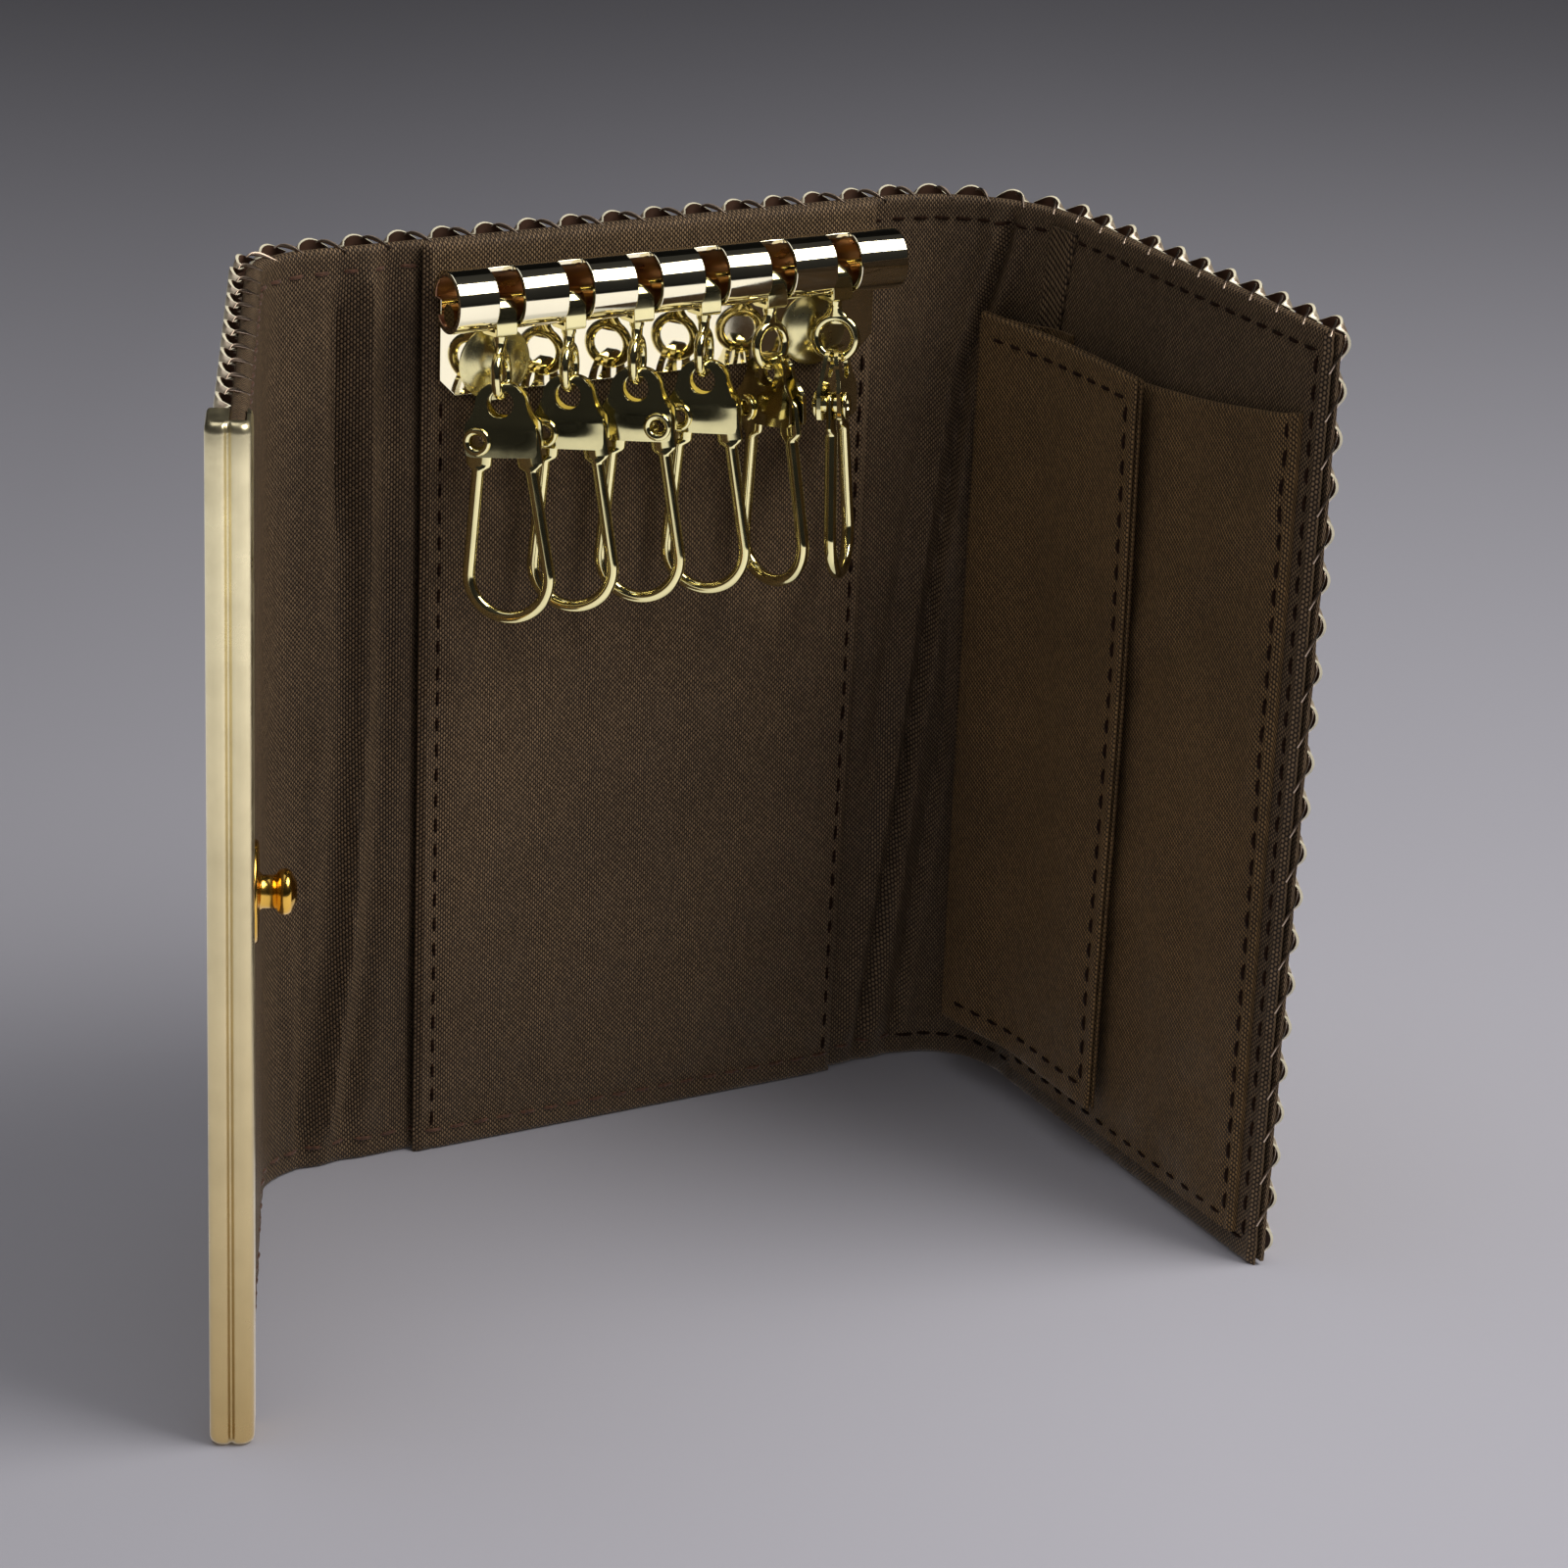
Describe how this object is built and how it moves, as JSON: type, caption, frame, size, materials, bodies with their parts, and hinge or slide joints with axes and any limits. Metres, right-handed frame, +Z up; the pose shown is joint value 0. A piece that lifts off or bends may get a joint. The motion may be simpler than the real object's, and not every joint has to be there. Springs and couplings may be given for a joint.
{
  "type": "key case",
  "caption": "Tri-fold key case in plated mesh with a cloth lining, metal clasp edge, snap, slip pocket and a plate of swivelling wire key loops.",
  "frame": {"origin": "centre of the lower face of the key patch, which rests on the floor under the hooks", "axes": "+X to the right seen from inside the open case, +Y out of the back of the centre panel, +Z up along the panels"},
  "size_m": [0.1164, 0.0645, 0.1008],
  "materials": {
    "lining_cloth": "woven twill",
    "mesh_plates": "enamelled plates",
    "board": "raw",
    "gold_metal": "plated, satin to bright",
    "steel": "plain"
  },
  "bodies": {
    "centre": {"key_patch": "lining_cloth", "lining_centre": "lining_cloth", "board_centre": "board", "mesh_centre": "mesh_plates", "key_plate": "gold_metal", "hook_rod": "gold_metal", "plate_rivets": "gold_metal", "rivet_washers": "steel"},
    "spine_left": {"lining_spine_left": "lining_cloth", "mesh_spine_left": "mesh_plates"},
    "flap_left": {"lining_left": "lining_cloth", "board_left": "board", "mesh_left": "mesh_plates", "clasp_bar": "gold_metal", "snap_stud": "gold_metal", "stud_washer": "steel"},
    "spine_right": {"lining_spine_right": "lining_cloth", "mesh_spine_right": "mesh_plates"},
    "flap_right": {"lining_right": "lining_cloth", "board_right": "board", "mesh_right": "mesh_plates", "snap_socket": "gold_metal", "socket_washer": "steel", "pocket_front": "lining_cloth"},
    "narrow_flap": {"pocket_flap": "lining_cloth"},
    "saddle_1": {"hook_saddle_1": "gold_metal"},
    "eye_1": {"hook_eye_1": "gold_metal"},
    "cap_1": {"hook_cap_1": "gold_metal", "hook_rivet_1": "gold_metal"},
    "loop_1": {"hook_loop_1": "gold_metal"},
    "saddle_2": {"hook_saddle_2": "gold_metal"},
    "eye_2": {"hook_eye_2": "gold_metal"},
    "cap_2": {"hook_cap_2": "gold_metal", "hook_rivet_2": "gold_metal"},
    "loop_2": {"hook_loop_2": "gold_metal"},
    "saddle_3": {"hook_saddle_3": "gold_metal"},
    "eye_3": {"hook_eye_3": "gold_metal"},
    "cap_3": {"hook_cap_3": "gold_metal", "hook_rivet_3": "gold_metal"},
    "loop_3": {"hook_loop_3": "gold_metal"},
    "saddle_4": {"hook_saddle_4": "gold_metal"},
    "eye_4": {"hook_eye_4": "gold_metal"},
    "cap_4": {"hook_cap_4": "gold_metal", "hook_rivet_4": "gold_metal"},
    "loop_4": {"hook_loop_4": "gold_metal"},
    "saddle_5": {"hook_saddle_5": "gold_metal"},
    "eye_5": {"hook_eye_5": "gold_metal"},
    "cap_5": {"hook_cap_5": "gold_metal", "hook_rivet_5": "gold_metal"},
    "loop_5": {"hook_loop_5": "gold_metal"},
    "saddle_6": {"hook_saddle_6": "gold_metal"},
    "eye_6": {"hook_eye_6": "gold_metal"},
    "cap_6": {"hook_cap_6": "gold_metal", "hook_rivet_6": "gold_metal"},
    "loop_6": {"hook_loop_6": "gold_metal"}
  },
  "joints": [
    {"name": "left_inner_fold", "type": "hinge", "parent": "centre", "child": "spine_left", "pos_m": [-0.03, 0.00065, 0.05], "axis": [0, 0, 1], "range_deg": [-34.1, 55.9]},
    {"name": "left_outer_fold", "type": "hinge", "parent": "spine_left", "child": "flap_left", "pos_m": [-0.04775, -0.01137, 0.05], "axis": [0, 0, 1], "range_deg": [-31.5, 58.5]},
    {"name": "right_inner_fold", "type": "hinge", "parent": "centre", "child": "spine_right", "pos_m": [0.0276, 0.00065, 0.05], "axis": [0, 0, -1], "range_deg": [-13.56, 76.44]},
    {"name": "right_outer_fold", "type": "hinge", "parent": "spine_right", "child": "flap_right", "pos_m": [0.03953, -0.00223, 0.05], "axis": [0, 0, -1], "range_deg": [-77.94, 12.06]},
    {"name": "narrow_flap_fold", "type": "hinge", "parent": "flap_right", "child": "narrow_flap", "pos_m": [0.04046, -0.00467, 0.04725], "axis": [0, 0, 1], "range_deg": [-55, 2]},
    {"name": "hook_1_swing", "type": "hinge", "parent": "centre", "child": "saddle_1", "pos_m": [-0.01858, -0.00385, 0.09337], "axis": [1, 0, 0], "range_deg": [-110, 0]},
    {"name": "hook_1_swivel", "type": "hinge", "parent": "saddle_1", "child": "eye_1", "pos_m": [-0.01858, -0.00408, 0.09149], "axis": [0, -0.1219, -0.9925], "range_deg": [0, 20]},
    {"name": "hook_1_rock", "type": "hinge", "parent": "eye_1", "child": "cap_1", "pos_m": [-0.01858, -0.00489, 0.08491], "axis": [0.6561, 0.7491, -0.092], "range_deg": [-8, 0]},
    {"name": "hook_1_loop", "type": "hinge", "parent": "cap_1", "child": "loop_1", "pos_m": [-0.02039, -0.00388, 0.0802], "axis": [0.6561, 0.7491, -0.092], "range_deg": [-25, 0]},
    {"name": "hook_2_swing", "type": "hinge", "parent": "centre", "child": "saddle_2", "pos_m": [-0.01082, -0.00385, 0.09337], "axis": [1, 0, 0], "range_deg": [-110, 0]},
    {"name": "hook_2_swivel", "type": "hinge", "parent": "saddle_2", "child": "eye_2", "pos_m": [-0.01082, -0.00402, 0.09148], "axis": [0, -0.0872, -0.9962], "range_deg": [0, 20]},
    {"name": "hook_2_rock", "type": "hinge", "parent": "eye_2", "child": "cap_2", "pos_m": [-0.01082, -0.00459, 0.08488], "axis": [0.6561, 0.7518, -0.0658], "range_deg": [-8, 0]},
    {"name": "hook_2_loop", "type": "hinge", "parent": "cap_2", "child": "loop_2", "pos_m": [-0.01264, -0.00342, 0.08021], "axis": [0.6561, 0.7518, -0.0658], "range_deg": [-25, 0]},
    {"name": "hook_3_swing", "type": "hinge", "parent": "centre", "child": "saddle_3", "pos_m": [-0.00308, -0.00385, 0.09337], "axis": [1, 0, 0], "range_deg": [-110, 0]},
    {"name": "hook_3_swivel", "type": "hinge", "parent": "saddle_3", "child": "eye_3", "pos_m": [-0.00308, -0.00402, 0.09148], "axis": [0, -0.0872, -0.9962], "range_deg": [0, 20]},
    {"name": "hook_3_rock", "type": "hinge", "parent": "eye_3", "child": "cap_3", "pos_m": [-0.00308, -0.00459, 0.08488], "axis": [0.6561, 0.7518, -0.0658], "range_deg": [-8, 0]},
    {"name": "hook_3_loop", "type": "hinge", "parent": "cap_3", "child": "loop_3", "pos_m": [-0.00126, -0.00656, 0.08048], "axis": [0.6561, 0.7518, -0.0658], "range_deg": [-35, 0]},
    {"name": "hook_4_swing", "type": "hinge", "parent": "centre", "child": "saddle_4", "pos_m": [0.00468, -0.00385, 0.09337], "axis": [1, 0, 0], "range_deg": [-110, 0]},
    {"name": "hook_4_swivel", "type": "hinge", "parent": "saddle_4", "child": "eye_4", "pos_m": [0.00468, -0.00402, 0.09148], "axis": [0, -0.0872, -0.9962], "range_deg": [0, 20]},
    {"name": "hook_4_rock", "type": "hinge", "parent": "eye_4", "child": "cap_4", "pos_m": [0.00468, -0.00459, 0.08488], "axis": [0.682, 0.7286, -0.0637], "range_deg": [-8, 0]},
    {"name": "hook_4_loop", "type": "hinge", "parent": "cap_4", "child": "loop_4", "pos_m": [0.00292, -0.00336, 0.0802], "axis": [0.682, 0.7286, -0.0637], "range_deg": [-25, 0]},
    {"name": "hook_5_swing", "type": "hinge", "parent": "centre", "child": "saddle_5", "pos_m": [0.01243, -0.00385, 0.09337], "axis": [1, 0, 0], "range_deg": [-110, 0]},
    {"name": "hook_5_swivel", "type": "hinge", "parent": "saddle_5", "child": "eye_5", "pos_m": [0.01243, -0.00406, 0.09149], "axis": [0, -0.108, -0.9942], "range_deg": [0, 20]},
    {"name": "hook_5_rock", "type": "hinge", "parent": "eye_5", "child": "cap_5", "pos_m": [0.01243, -0.00477, 0.08489], "axis": [0.9511, 0.3072, -0.0334], "range_deg": [-4, 0]},
    {"name": "hook_5_loop", "type": "hinge", "parent": "cap_5", "child": "loop_5", "pos_m": [0.01168, -0.00299, 0.08013], "axis": [0.9511, 0.3072, -0.0334], "range_deg": [-15, 0]},
    {"name": "hook_6_swing", "type": "hinge", "parent": "centre", "child": "saddle_6", "pos_m": [0.02017, -0.00385, 0.09337], "axis": [1, 0, 0], "range_deg": [-110, 0]},
    {"name": "hook_6_swivel", "type": "hinge", "parent": "saddle_6", "child": "eye_6", "pos_m": [0.02017, -0.00408, 0.09149], "axis": [0, -0.1219, -0.9925], "range_deg": [-20, 0]},
    {"name": "hook_6_rock", "type": "hinge", "parent": "eye_6", "child": "cap_6", "pos_m": [0.02017, -0.00489, 0.08491], "axis": [0.7314, -0.6769, 0.0831], "range_deg": [-8, 0]},
    {"name": "hook_6_loop", "type": "hinge", "parent": "cap_6", "child": "loop_6", "pos_m": [0.01854, -0.00719, 0.08061], "axis": [0.7314, -0.6769, 0.0831], "range_deg": [-35, 0]}
  ]
}
